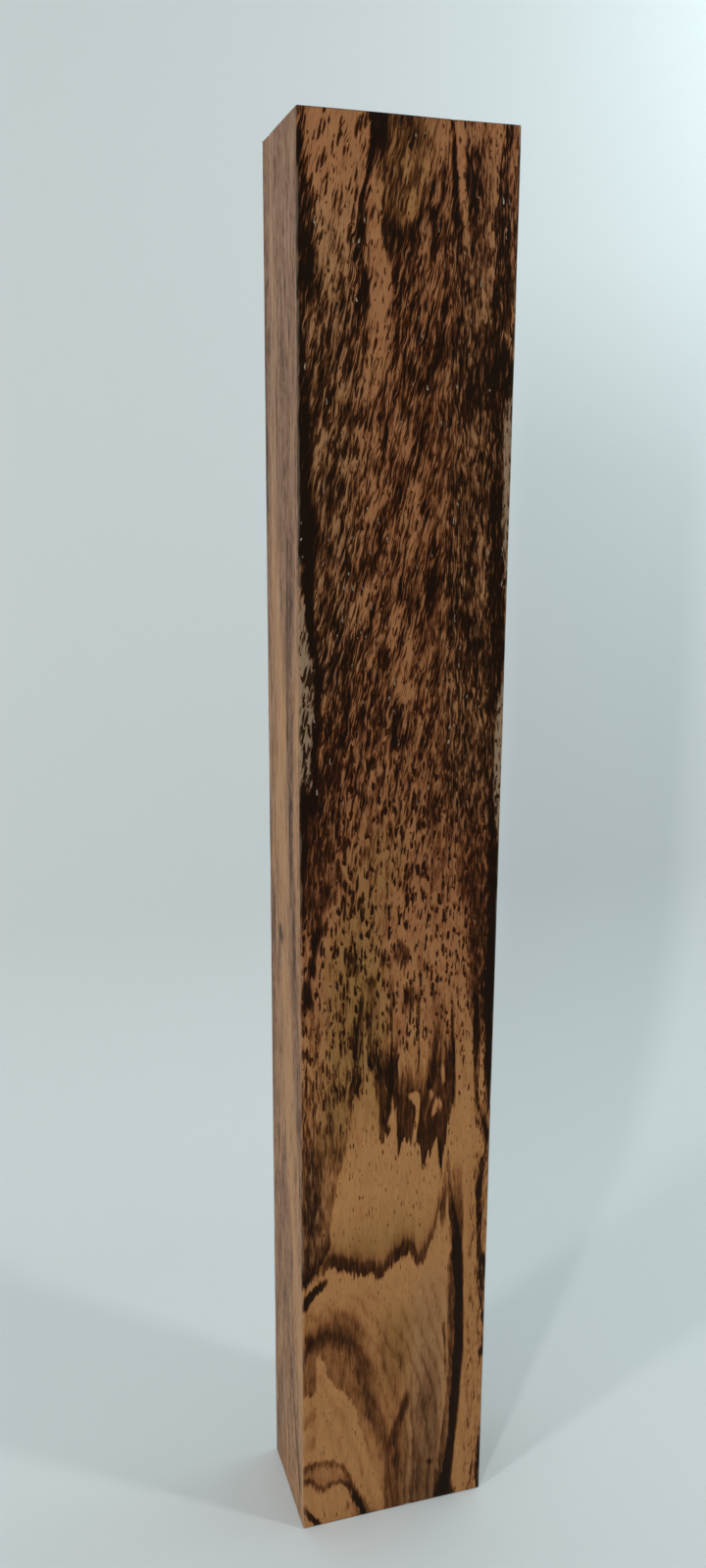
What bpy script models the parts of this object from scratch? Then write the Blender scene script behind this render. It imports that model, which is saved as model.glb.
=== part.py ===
"""A sawn blank of bocote heartwood, standing on one end.

It is one piece of wood: a four-square stick with its grain running up it. +Z is up the grain, the wide
flat-sawn face looks to -Y, the narrow quarter-sawn face looks to -X, and the origin is the middle of the
sawn end that it stands on.
"""

import bpy
import bmesh
from mathutils import Matrix, Vector

MM = 0.001

# Sawn sizes of the blank
LENGTH = 344 * MM
WIDTH = 50 * MM
THICKNESS = 30.4 * MM

# Sandpaper has just broken every arris
ARRIS = 0.35 * MM
ARRIS_STEPS = 2

# The finish of the wood as a plain solid colour
HEARTWOOD = (0.150, 0.080, 0.042, 1.0)
ROUGHNESS = 0.55

# The planes of the six faces
LEFT, RIGHT = -WIDTH / 2, WIDTH / 2
FRONT, BACK = -THICKNESS / 2, THICKNESS / 2
FOOT, HEAD = 0.0, LENGTH

# Splinters lost from the arrises: the way the grain or the edge runs there, a point on the wood,
# half the length of the hollow, and how far it bites
CHIPS = {
    "head_right_wear": ("Z", (RIGHT, FRONT, HEAD - 1.5 * MM), 3.4 * MM, 0.45 * MM),
    "head_front_nick": ("X", (RIGHT - 15.0 * MM, FRONT, HEAD), 1.6 * MM, 0.45 * MM),
    "head_left_nick": ("Y", (LEFT, BACK - 6.0 * MM, HEAD), 1.3 * MM, 0.50 * MM),
    "head_back_nick": ("X", (LEFT + 18.0 * MM, BACK, HEAD), 2.2 * MM, 0.60 * MM),
    "foot_left_nick": ("Y", (LEFT, BACK - 7.5 * MM, FOOT), 1.1 * MM, 0.55 * MM),
    "foot_left_splinter": ("Y", (LEFT, FRONT + 8.0 * MM, FOOT), 1.5 * MM, 0.60 * MM),
    "foot_front_nick": ("X", (RIGHT - 21.0 * MM, FRONT, FOOT), 1.4 * MM, 0.45 * MM),
    "foot_back_nick": ("X", (RIGHT - 12.0 * MM, BACK, FOOT), 1.8 * MM, 0.60 * MM),
    "left_face_pit": ("Z", (LEFT, FRONT + 1.9 * MM, 305.0 * MM), 1.2 * MM, 0.40 * MM),
    "left_arris_run": ("Z", (LEFT, FRONT, 226.0 * MM), 5.5 * MM, 0.45 * MM),
    "right_arris_run": ("Z", (RIGHT, FRONT, 116.0 * MM), 3.0 * MM, 0.45 * MM),
    "back_left_run": ("Z", (LEFT, BACK, 71.0 * MM), 4.5 * MM, 0.60 * MM),
    "back_right_run": ("Z", (RIGHT, BACK, 248.0 * MM), 6.0 * MM, 0.60 * MM),
}
SCOOP_SUBDIVISIONS = 2


def clear_scene():
    """Removes whatever the file opened with."""
    for obj in list(bpy.data.objects):
        bpy.data.objects.remove(obj)


def wood_material():
    """The plain finish of the whole solid."""
    material = bpy.data.materials.new("bocote_heartwood")
    material.use_nodes = True
    shader = material.node_tree.nodes["Principled BSDF"]
    shader.inputs["Base Color"].default_value = HEARTWOOD
    shader.inputs["Roughness"].default_value = ROUGHNESS
    shader.inputs["Metallic"].default_value = 0.0
    material.diffuse_color = HEARTWOOD
    return material


def sawn_stick(name):
    """The four-square stick, with its foot at height 0."""
    mesh = bpy.data.meshes.new(name)
    form = bmesh.new()
    bmesh.ops.create_cube(form, size=1.0)
    bmesh.ops.scale(form, vec=Vector((WIDTH, THICKNESS, LENGTH)), verts=form.verts)
    bmesh.ops.translate(form, vec=Vector((0.0, 0.0, LENGTH / 2)), verts=form.verts)
    form.to_mesh(mesh)
    form.free()
    stick = bpy.data.objects.new(name, mesh)
    bpy.context.scene.collection.objects.link(stick)
    return stick


def scoop(name, run, centre, half_length, bite):
    """A cutter shaped like the hollow that one lost splinter leaves: long one way, shallow the others."""
    radii = [bite, bite, bite]
    radii["XYZ".index(run)] = half_length
    mesh = bpy.data.meshes.new(name)
    form = bmesh.new()
    bmesh.ops.create_icosphere(
        form,
        subdivisions=SCOOP_SUBDIVISIONS,
        radius=1.0,
        matrix=Matrix.Translation(centre) @ Matrix.Diagonal((*radii, 1.0)),
    )
    form.to_mesh(mesh)
    form.free()
    cutter = bpy.data.objects.new(name, mesh)
    cutter.hide_render = True
    cutter.display_type = "WIRE"
    return cutter


def chip_cutters():
    """A collection of one scoop for each chip."""
    cutters = bpy.data.collections.new("chips")
    bpy.context.scene.collection.children.link(cutters)
    for name, (run, centre, half_length, bite) in CHIPS.items():
        cutters.objects.link(scoop(name, run, Vector(centre), half_length, bite))
    return cutters


def build_blank():
    """The blank: sawn, its arrises eased, then chipped."""
    blank = sawn_stick("bocote_blank")
    blank.data.materials.append(wood_material())
    eased = blank.modifiers.new("eased_arrises", "BEVEL")
    eased.width = ARRIS
    eased.segments = ARRIS_STEPS
    eased.limit_method = "ANGLE"
    chipped = blank.modifiers.new("chipped_arrises", "BOOLEAN")
    chipped.operation = "DIFFERENCE"
    chipped.operand_type = "COLLECTION"
    chipped.collection = chip_cutters()
    chipped.solver = "EXACT"
    return blank


clear_scene()
build_blank()
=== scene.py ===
# %% [markdown]
# # A sawn blank of figured bocote
#
# The real thing is one stick of heartwood, sawn four-square and lightly sanded, standing on its end. There
# is almost nothing to its form, so the lesson is about the other two things that make wood look like wood:
# arrises and faces that are not quite perfect, and a figure that runs through the whole solid.

# %% Load the frame
import math

import bmesh
import bpy
from mathutils import Matrix, Vector


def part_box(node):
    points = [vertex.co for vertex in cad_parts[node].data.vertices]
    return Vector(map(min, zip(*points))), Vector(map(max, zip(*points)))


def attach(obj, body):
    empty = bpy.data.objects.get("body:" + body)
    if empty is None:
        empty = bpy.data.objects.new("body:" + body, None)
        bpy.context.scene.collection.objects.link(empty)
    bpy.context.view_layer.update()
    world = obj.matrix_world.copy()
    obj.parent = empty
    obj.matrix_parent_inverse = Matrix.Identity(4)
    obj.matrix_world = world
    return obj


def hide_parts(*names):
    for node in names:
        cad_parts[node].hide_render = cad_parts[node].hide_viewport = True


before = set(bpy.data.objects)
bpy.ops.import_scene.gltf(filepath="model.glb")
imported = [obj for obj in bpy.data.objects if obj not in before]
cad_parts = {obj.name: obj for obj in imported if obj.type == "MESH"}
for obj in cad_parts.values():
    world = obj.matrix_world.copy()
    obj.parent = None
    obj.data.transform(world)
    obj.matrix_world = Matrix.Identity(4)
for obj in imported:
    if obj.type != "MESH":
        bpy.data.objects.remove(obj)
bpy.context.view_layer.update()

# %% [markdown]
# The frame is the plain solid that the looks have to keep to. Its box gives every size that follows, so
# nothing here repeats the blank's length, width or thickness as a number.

MM = 0.001

low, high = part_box("bocote_blank")
width, thickness, length = high - low
print(f"blank: {width / MM:.1f} x {thickness / MM:.1f} x {length / MM:.1f} mm")

# %% [markdown]
# ## The camera
#
# The photograph was taken by hand, a little above the middle of the blank, to the left of its wide face and
# looking down at it. Blender could aim the camera with a Track To constraint, but a plain place and two
# angles say more clearly where the photographer stood. They are measured from the blank's nearest bottom
# corner.

# %% Place the camera
CAMERA_FROM_CORNER = Vector((-71.3, -274.2, 268.8)) * MM
CAMERA_TURN = 17.05
CAMERA_TILT = -13.20
CAMERA_ROLL = 0.25
LENS = 29.27

camera_turn = Matrix.Rotation(math.radians(-CAMERA_TURN), 3, "Z")
camera_tilt = Matrix.Rotation(math.radians(90 + CAMERA_TILT), 3, "X")
camera_roll = Matrix.Rotation(math.radians(CAMERA_ROLL), 3, "Z")
bpy.ops.object.select_all(action="DESELECT")
bpy.ops.object.camera_add(
    location=low + CAMERA_FROM_CORNER,
    rotation=(camera_turn @ camera_tilt @ camera_roll).to_euler(),
)
camera = bpy.context.active_object
camera.name = "camera"
camera.data.lens = LENS
camera.data.clip_start = 10 * MM
bpy.context.scene.camera = camera
print("camera stands", [round(c / MM) for c in camera.location], "mm from the middle of the foot")

# %% [markdown]
# ## Selecting in code
#
# Extrude, bevel and subdivide act on what is selected, as they do by hand. In a script the choice is made
# by a test on each edge's place. Four helpers pick one object, open its mesh, find the middle of an edge and
# select edges by a test.

# %% Pick an object, open its mesh and select its edges
def pick(obj):
    """Selects one object alone and makes it the active one, as a click does."""
    bpy.ops.object.select_all(action="DESELECT")
    obj.select_set(True)
    bpy.context.view_layer.objects.active = obj


def edit(obj):
    """Opens one object in edit mode and hands back its mesh for selecting in code."""
    bpy.context.view_layer.objects.active = obj
    bpy.ops.object.mode_set(mode="EDIT")
    bpy.ops.mesh.select_all(action="DESELECT")
    return bmesh.from_edit_mesh(obj.data)


def middle(edge):
    return sum((v.co for v in edge.verts), Vector()) / 2


def select_edges(form, wanted):
    """Selects the edges that pass a test."""
    for edge in form.edges:
        if wanted(edge):
            edge.select = True
    form.select_flush_mode()


# %% [markdown]
# ## Shader maths as plain expressions
#
# The wood will be one long sum: noise drawn out along the grain, plus streaks of pigment, less the pale
# places. Written node by node that sum would hide itself. This small class wraps an output socket and
# overloads arithmetic, so that an expression such as `1 - mask` adds its own Math node, and any other node
# comes from one method. The paper and the tent of light use it too.

# %% Wrap a socket
class Field:
    """A value that changes from place to place: one socket of the node tree being built."""

    tree = None

    def __init__(self, socket):
        self.socket = socket

    @classmethod
    def node(cls, kind, sockets, output=0, curves=(), stops=(), **settings):
        """Adds a node: its settings first, then a number or a link for each socket."""
        made = cls.tree.nodes.new("ShaderNode" + kind)
        for name, value in settings.items():
            setattr(made, name, value)
        if curves:
            made.mapping.use_clip = False
            made.mapping.extend = "HORIZONTAL"
            for curve, points in zip(made.mapping.curves, curves):
                draw(curve.points, points)
            made.mapping.update()
        for index, (place, colour) in enumerate(stops):
            ends = made.color_ramp.elements
            stop = ends[index] if index < len(ends) else ends.new(place)
            stop.position, stop.color = place, colour
        for key, value in sockets.items():
            if isinstance(value, Field):
                cls.tree.links.new(value.socket, made.inputs[key])
            else:
                made.inputs[key].default_value = value
        return cls(made.outputs[output])

    def math(self, operation, *others):
        """One Math node with this value as its first."""
        return Field.node("Math", dict(enumerate((self, *others))), operation=operation)

    def vector_math(self, operation, *others, output="Vector"):
        """One Vector Math node with this value as its first."""
        sockets = dict(enumerate((self, *others)))
        return Field.node("VectorMath", sockets, output=output, operation=operation)

    def into(self, node, name):
        """Links this value to a socket of a node that is there already."""
        Field.tree.links.new(self.socket, node.inputs[name])

    def parts(self):
        """A vector's three numbers."""
        split = Field.node("SeparateXYZ", {"Vector": self}).socket.node
        return [Field(socket) for socket in split.outputs]

    def __add__(self, other):
        return self.math("ADD", other)

    def __sub__(self, other):
        return self.math("SUBTRACT", other)

    def __rsub__(self, other):
        return Field.node("Math", {0: other, 1: self}, operation="SUBTRACT")

    def __mul__(self, other):
        return self.math("MULTIPLY", other)

    def __truediv__(self, other):
        return self.math("DIVIDE", other)

    def __abs__(self):
        return self.math("ABSOLUTE")

    __radd__ = __add__
    __rmul__ = __mul__


# %% [markdown]
# The class can add any node, but a handful are wanted all the time: a curve through given points, a soft
# step, a mix of two numbers and a mix of two colours. Each gets a short name, so that the wood's lines
# read easily.

# %% Name the few nodes that are used again and again
def draw(curve_points, wanted):
    """Draws a curve through the wanted points."""
    for index, (along, value) in enumerate(wanted):
        if index < 2:
            curve_points[index].location = (along, value)
        else:
            curve_points.new(along, value)
    for point in curve_points:
        point.handle_type = "AUTO_CLAMPED"


def curve_of(value, points):
    """The height of a drawn curve at a value."""
    return Field.node("FloatCurve", {"Value": value}, curves=[points])


def between(value, start, end):
    """0 before start and 1 past end, with a smooth step from one to the other."""
    sockets = {"Value": value, "From Min": start, "From Max": end}
    return Field.node("MapRange", sockets, interpolation_type="SMOOTHSTEP")


def larger(a, b):
    return a.math("MAXIMUM", b)


def mixed(a, b, share):
    """Between two numbers: a where the share is 0, b where it is 1."""
    return Field.node("Mix", {0: share, 2: a, 3: b}, data_type="FLOAT")


def blend(below, above, share, way="MIX"):
    """One colour over another."""
    sockets = {0: share, 6: below, 7: above}
    return Field.node("Mix", sockets, output=2, data_type="RGBA", blend_type=way)


def vector(x, y, z):
    return Field.node("CombineXYZ", {"X": x, "Y": y, "Z": z})


# %% [markdown]
# ## The floor and the backdrop
#
# Behind the blank, a sheet of pale paper lies flat and then sweeps up into a wall. A plane is the sheet,
# its back edge is pulled up to make the wall, and a wide bevel turns the fold between them into the sweep,
# so there is no seam for the eye to find.

# %% Fold the paper
PAPER_SIDE = 2400 * MM
WALL_BEHIND = 215 * MM
SWEEP_RADIUS = 95 * MM
SWEEP_STEPS = 24

bpy.ops.object.select_all(action="DESELECT")
bpy.ops.mesh.primitive_plane_add(size=PAPER_SIDE, location=(0, WALL_BEHIND - PAPER_SIDE / 2, 0))
paper = bpy.context.active_object
paper.name = "paper"
bpy.ops.object.transform_apply(location=True, rotation=False, scale=False)
form = edit(paper)
bpy.ops.mesh.select_mode(type="EDGE")
select_edges(form, lambda edge: middle(edge).y > WALL_BEHIND - MM)
bpy.ops.mesh.extrude_region_move(TRANSFORM_OT_translate={"value": (0, 0, PAPER_SIDE)})
bpy.ops.mesh.select_all(action="DESELECT")
form = bmesh.from_edit_mesh(paper.data)
select_edges(form, lambda edge: len(edge.link_faces) == 2)
bpy.ops.mesh.bevel(offset=SWEEP_RADIUS, segments=SWEEP_STEPS, affect="EDGES")
bpy.ops.mesh.select_all(action="SELECT")
bpy.ops.mesh.normals_make_consistent(inside=True)
bpy.ops.object.mode_set(mode="OBJECT")
paper.data.shade_smooth()
facing = [round(c, 2) for c in paper.data.polygons[0].normal]
print("the paper has", len(paper.data.polygons), "faces, and its first one faces", facing)

# %% [markdown]
# The wall would hide the blank from anyone who walks round behind it. It could be cut away, but the
# photograph needs it, so its material is paper from the front and clear from the back. The Geometry node's
# Backfacing output tells the two sides apart, and drives the mix of a paper shader and a transparent one.

# %% Colour the paper
PAPER_COLOUR = (0.775, 0.80, 0.797, 1.0)
PAPER_ROUGHNESS = 0.7

paper_finish = bpy.data.materials.new("pale_paper")
paper_finish.use_nodes = True
Field.tree = paper_finish.node_tree
front = Field.tree.nodes["Principled BSDF"]
front.inputs["Base Color"].default_value = PAPER_COLOUR
front.inputs["Roughness"].default_value = PAPER_ROUGHNESS
from_behind = Field.node("NewGeometry", {}, output="Backfacing")
clear = Field.node("BsdfTransparent", {})
one_way = Field.node("MixShader", {0: from_behind, 1: Field(front.outputs["BSDF"]), 2: clear})
one_way.into(Field.tree.nodes["Material Output"], "Surface")
paper.data.materials.append(paper_finish)
print("the paper's material has", len(Field.tree.nodes), "nodes")

# %% [markdown]
# ## The light
#
# A pale tent surrounds the blank, and its light gives the narrow face part of its gleam where the camera
# looks along it; the rest of that gleam is painted into the face's colour as a paler, greyer sheen. In
# Blender the tent is a bright, slightly cold world, darker where it is open towards the camera.
# Upright strips of lamps outside the tent throw the soft shadows on the floor and the wall, and area lights
# of the same shape throw them here. One more lamp hangs beside the wall, out of the picture, and brightens
# its right side.

# %% Light the tent
TENT_COLOUR = (0.80, 0.955, 1.0, 1.0)
TENT_STRENGTH = 0.46
OPENING_STRENGTH = 0.10
OPENING_EDGE = (-0.85, -0.35)

world = bpy.data.worlds.new("tent")
world.use_nodes = True
Field.tree = world.node_tree
sky = Field.tree.nodes["Background"]
sky.inputs["Color"].default_value = TENT_COLOUR
_, towards_back, _ = Field.node("TexCoord", {}, output="Generated").parts()
from_opening = {"Value": towards_back, "From Min": OPENING_EDGE[0], "From Max": OPENING_EDGE[1]}
to_tent = {"To Min": OPENING_STRENGTH, "To Max": TENT_STRENGTH}
brightness = Field.node("MapRange", {**from_opening, **to_tent}, interpolation_type="SMOOTHSTEP")
brightness.into(sky, "Strength")
bpy.context.scene.world = world
bpy.context.scene.view_settings.view_transform = "Standard"
print("the tent's strength runs from", OPENING_STRENGTH, "in its opening to", TENT_STRENGTH)

# %% [markdown]
# A lamp is a row in a table: where it hangs, what it is aimed at and its size, all in millimetres, then its
# watts and its colour. An area light shines down its own Z axis, so it is turned until that axis meets the
# aim.

# %% Hang the lamps
WHITE = (1.0, 1.0, 1.0)
COLD = (0.78, 0.95, 1.0)
MIDDLE_OF_BLANK = (0, 0, 172)
RIGHT_OF_WALL = (215, 215, 250)
LAMPS = {
    "left_strip": ((-640, -310, 470), MIDDLE_OF_BLANK, (60, 260), 1.2, WHITE),
    "front_strip": ((-560, -700, 430), MIDDLE_OF_BLANK, (50, 300), 2.1, WHITE),
    "right_strip": ((330, -260, 560), MIDDLE_OF_BLANK, (40, 240), 0.6, WHITE),
    "wall_lamp": ((350, 60, 480), RIGHT_OF_WALL, (200, 300), 0.54, COLD),
}
for lamp_name, (place, target, size, watts, colour) in LAMPS.items():
    spot = Vector(place) * MM
    aim = Vector(target) * MM - spot
    bpy.ops.object.select_all(action="DESELECT")
    bpy.ops.object.light_add(type="AREA", location=spot, rotation=aim.to_track_quat("-Z", "Y").to_euler())
    lamp = bpy.context.active_object
    lamp.name = lamp_name
    lamp.data.shape = "RECTANGLE"
    lamp.data.size, lamp.data.size_y = size[0] * MM, size[1] * MM
    lamp.data.energy = watts
    lamp.data.color = colour
print("lamps:", ", ".join(LAMPS))

# %% [markdown]
# ## The blank itself
#
# A sawn stick is a box, but its arrises are never sharp: a stroke of sandpaper leaves them a third of a
# millimetre round, and that thin line of light is most of what says that the wood is real. So a cube gets a
# small bevel. It is then cut into a fine grid, because flat faces that were sawn and sanded by hand still
# wave a little, and the ends keep the marks of the saw.

# %% Saw and ease the stick
ARRIS = 0.35 * MM
ARRIS_STEPS = 3
GRID_LONG = 1.45 * MM
GRID_ACROSS = 0.60 * MM

bpy.ops.object.select_all(action="DESELECT")
bpy.ops.mesh.primitive_cube_add(size=1, location=(low + high) / 2, scale=(width, thickness, length))
blank = bpy.context.active_object
blank.name = "blank_wood"
bpy.ops.object.transform_apply(location=True, rotation=True, scale=True)
edit(blank)
bpy.ops.mesh.select_all(action="SELECT")
bpy.ops.mesh.bevel(offset=ARRIS, segments=ARRIS_STEPS, affect="EDGES")
bpy.ops.object.mode_set(mode="OBJECT")
print("eased stick:", len(blank.data.polygons), "faces")

# %% [markdown]
# Subdivide cuts an edge into equal parts. The edges that run the whole way along one axis are chosen, and
# cutting them at an even spacing lays lines right round the blank. Three axes make the grid.

# %% Cut it into a fine grid
NEARLY_WHOLE = 0.9


def cut_across(obj, axis, spacing):
    """Cuts every edge that runs the whole way along one axis into equal steps."""
    form = edit(obj)
    bpy.ops.mesh.select_mode(type="EDGE")
    whole = (high - low)[axis]

    def runs_along(edge):
        a, b = (v.co for v in edge.verts)
        return abs(a[axis] - b[axis]) > NEARLY_WHOLE * whole

    select_edges(form, runs_along)
    bpy.ops.mesh.subdivide(number_cuts=round(whole / spacing) - 1)
    bpy.ops.object.mode_set(mode="OBJECT")


cut_across(blank, 2, GRID_LONG)
cut_across(blank, 0, GRID_ACROSS)
cut_across(blank, 1, GRID_ACROSS)
print("fine grid:", len(blank.data.polygons), "faces")

# %% [markdown]
# Splinters have come off the arrises here and there. Each hollow is long one way and shallow the others, so a
# small ball, stretched and sunk into the arris, cuts it away with a Boolean.

# %% Chip the arrises
CHIPS = {
    "head_right_wear": ("Z", (high.x, low.y, high.z - 1.5 * MM), 3.4 * MM, 0.45 * MM),
    "head_front_nick": ("X", (high.x - 15.0 * MM, low.y, high.z), 1.6 * MM, 0.45 * MM),
    "head_left_nick": ("Y", (low.x, high.y - 6.0 * MM, high.z), 1.3 * MM, 0.50 * MM),
    "head_back_nick": ("X", (low.x + 18.0 * MM, high.y, high.z), 2.2 * MM, 0.60 * MM),
    "foot_left_nick": ("Y", (low.x, high.y - 7.5 * MM, low.z), 1.1 * MM, 0.55 * MM),
    "foot_left_splinter": ("Y", (low.x, low.y + 8.0 * MM, low.z), 1.5 * MM, 0.60 * MM),
    "foot_front_nick": ("X", (high.x - 21.0 * MM, low.y, low.z), 1.4 * MM, 0.45 * MM),
    "foot_back_nick": ("X", (high.x - 12.0 * MM, high.y, low.z), 1.8 * MM, 0.60 * MM),
    "left_face_pit": ("Z", (low.x, low.y + 1.9 * MM, 305.0 * MM), 1.2 * MM, 0.40 * MM),
    "left_arris_run": ("Z", (low.x, low.y, 226.0 * MM), 5.5 * MM, 0.45 * MM),
    "right_arris_run": ("Z", (high.x, low.y, 116.0 * MM), 3.0 * MM, 0.45 * MM),
    "back_left_run": ("Z", (low.x, high.y, 71.0 * MM), 4.5 * MM, 0.60 * MM),
    "back_right_run": ("Z", (high.x, high.y, 248.0 * MM), 6.0 * MM, 0.60 * MM),
}

scoops = []
for run, centre, half_length, bite in CHIPS.values():
    radii = [bite, bite, bite]
    radii["XYZ".index(run)] = half_length
    bpy.ops.object.select_all(action="DESELECT")
    bpy.ops.mesh.primitive_ico_sphere_add(subdivisions=3, radius=1, location=centre, scale=radii)
    scoops.append(bpy.context.active_object)
bpy.ops.object.select_all(action="DESELECT")
for scoop in scoops:
    scoop.select_set(True)
bpy.context.view_layer.objects.active = scoops[0]
bpy.ops.object.join()
scoop = bpy.context.active_object
chipping = blank.modifiers.new("chips", "BOOLEAN")
chipping.operation = "DIFFERENCE"
chipping.object = scoop
chipping.solver = "EXACT"
pick(blank)
bpy.ops.object.modifier_apply(modifier=chipping.name)
bpy.data.objects.remove(scoop)
print("chipped:", len(blank.data.polygons), "faces")

# %% [markdown]
# The saw left ridges across the ends, and sanding by hand leaves every face a little wavy. Both are real
# relief, less than 0.15 mm deep, and so they belong in the mesh. A Displace modifier reads a
# texture in the space of an empty, whose size and turn set the pitch and the direction. Its middle level is
# 1, so the surface only ever moves inwards and the blank never outgrows its measured box.

# %% Mark the ends and wave the faces
SAW_DEPTH = 0.06 * MM
SAW_GUIDE = 7.0 * MM
SAW_TURN = math.radians(-38)
WAVE_DEPTH = 0.14 * MM
WAVE_GUIDE = 20.0 * MM
END_SKIN = 0.01 * MM

ends = blank.vertex_groups.new(name="ends")
on_an_end = [v.index for v in blank.data.vertices if min(v.co.z - low.z, high.z - v.co.z) < END_SKIN]
ends.add(on_an_end, 1.0, "REPLACE")


def press_in(name, kind, depth, guide_size, turn=0.0, group="", **settings):
    """Presses the blank's surface inwards by a texture that is read in the space of an empty."""
    bpy.ops.object.select_all(action="DESELECT")
    bpy.ops.object.empty_add(location=(0, 0, 0), rotation=(0, 0, turn))
    guide = bpy.context.active_object
    guide.scale = (guide_size,) * 3
    relief = bpy.data.textures.new(name, kind)
    for setting, value in settings.items():
        setattr(relief, setting, value)
    press = blank.modifiers.new(name, "DISPLACE")
    press.texture = relief
    press.texture_coords = "OBJECT"
    press.texture_coords_object = guide
    press.strength = depth
    press.mid_level = 1.0
    press.vertex_group = group
    pick(blank)
    before = [v.co.copy() for v in blank.data.vertices]
    bpy.ops.object.modifier_apply(modifier=press.name)
    deepest = max((v.co - was).length for v, was in zip(blank.data.vertices, before))
    bpy.data.objects.remove(guide)
    print(f"{name}: up to {deepest / MM:.3f} mm deep")


saw_texture = {"wood_type": "BANDNOISE", "turbulence": 2.0}
press_in("saw_marks", "WOOD", SAW_DEPTH, SAW_GUIDE, SAW_TURN, ends.name, **saw_texture)
press_in("hand_sanding", "CLOUDS", WAVE_DEPTH, WAVE_GUIDE, noise_scale=1.0, noise_depth=1)

# %% [markdown]
# ## Where a point of the wood is
#
# Object coordinates run through the solid, so a figure that is built on them has no seam at an arris. A
# Mapping node turns metres into millimetres, counted from the left, from the wide face and from the foot:
# `across`, `depth` and `up`.

# %% Start the wood's material
wood = bpy.data.materials.new("bocote_figure")
wood.use_nodes = True
Field.tree = wood.node_tree

here = Field.node("TexCoord", {}, output="Object")
in_mm = {"Vector": here, "Location": -low / MM, "Scale": (1 / MM,) * 3}
stock = Field.node("Mapping", in_mm, vector_type="POINT")
across, depth, up = stock.parts()
print("millimetres are counted from", [round(c / MM, 1) for c in low])

# %% [markdown]
# ## The lie of the grain
#
# The fibres stand upright near the foot and on the right, and lean over to the right higher up on the left.
# The noise of the figure is made twice, once in upright wood and once in leaning wood, and the two are
# crossed over, because wood that is sheared more and more would stretch the noise out of shape. What is drawn
# for the wide face lies in a thin skin behind it, and fades there into the wood inside.

# %% Lean the upper grain
LEAN = [(0, 0), (150, 0), (178, 1.6), (205, 5.0), (262, 17.0), (344, 33.5)]
NOISE_GAIN = {1.0: 9.0, 2.0: 10.5}
FACE_SKIN = (0.15, 0.6)
LEAN_FADES = (31.0, 37.0)
DRIFT_SCALE = 0.09
DRIFT = 16

drift = Field.node("TexNoise", {"Vector": stock, "Scale": DRIFT_SCALE, "Detail": 1.0}) - 0.5
near_front = between(depth, FACE_SKIN[1], FACE_SKIN[0])
lean_share = between(across + drift * DRIFT, LEAN_FADES[1], LEAN_FADES[0]) * near_front


def noise(place, size, seed, detail=2.0):
    """Noise whose blobs have about this size in mm, scaled to a spread of 1 either side of 0."""
    per_mm = tuple(1 / s for s in size)
    offset = (seed * 7.31, seed * 3.17, seed * 5.73)
    where = Field.node("VectorMath", {0: place, 1: per_mm, 2: offset}, operation="MULTIPLY_ADD")
    raw = Field.node("TexNoise", {"Vector": where, "Scale": 1.0, "Detail": detail})
    return (raw - 0.5) * NOISE_GAIN[detail]


curl = noise(stock, (2.0, 2.0, 5.0), 71, 1.0) * 0.17
upright = vector(across + curl, depth, up)
leaning = vector(across + curl - curve_of(up, LEAN), depth, up)


def grain(size, leaning_size, seed):
    """Noise drawn out along the grain, upright or leaning as the wood is."""
    return mixed(noise(upright, size, seed), noise(leaning, leaning_size, seed + 1), lean_share)


patches = grain((2.1, 2.1, 8), (2.1, 2.1, 8), 21)
mottles = grain((0.6, 0.6, 2.9), (0.62, 0.62, 3.3), 31)
fibres = grain((0.24, 0.24, 3.6), (0.24, 0.24, 4.4), 41)
long_lines = noise(stock, (0.45, 0.45, 30), 51)

# %% [markdown]
# A line that is drawn as a smooth curve looks drawn. So the places where the figure is looked up are shaken a
# little first: the waver bends long lines slowly, and the fray and the mottles make their edges ragged.

# %% Shake the lines
waver = noise(stock, (7, 7, 24), 11, 1.0)
fray = noise(stock, (0.6, 0.6, 9), 12, 2.0)
shaken_across = across + waver * 0.3 + mottles * 0.14
shaken_up = up + fray * 0.9 + mottles * 0.35
frayed_up = up + fray * 0.3
three_up = vector(frayed_up, frayed_up, frayed_up)

# %% [markdown]
# ## Streaks of pigment
#
# Bocote's black lies in streaks that wander up the grain, swell and fade. Each streak here is three curves
# over height: where its middle is, how wide it is and how strong. The numbers are millimetres from the left
# and up from the foot, as a maker would mark them on the stick. A strength below 0 makes a pale streak.
#
# Streaks that never share a height are strung one above the other on the same curves, and a Vector Curves
# node holds three such strings.

# %% Draw the streaks three at a time
CLEAR_ABOVE = 3.5


def strung(marks):
    """Strings streaks that lie clear of each other in height one above the other."""
    strings = []
    for mark in sorted(marks):
        clear = [string for string in strings if string[-1][0] + CLEAR_ABOVE <= mark[0][0]]
        if clear:
            max(clear, key=lambda string: string[-1][0]).extend(mark)
        else:
            strings.append(list(mark))
    return strings


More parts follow.
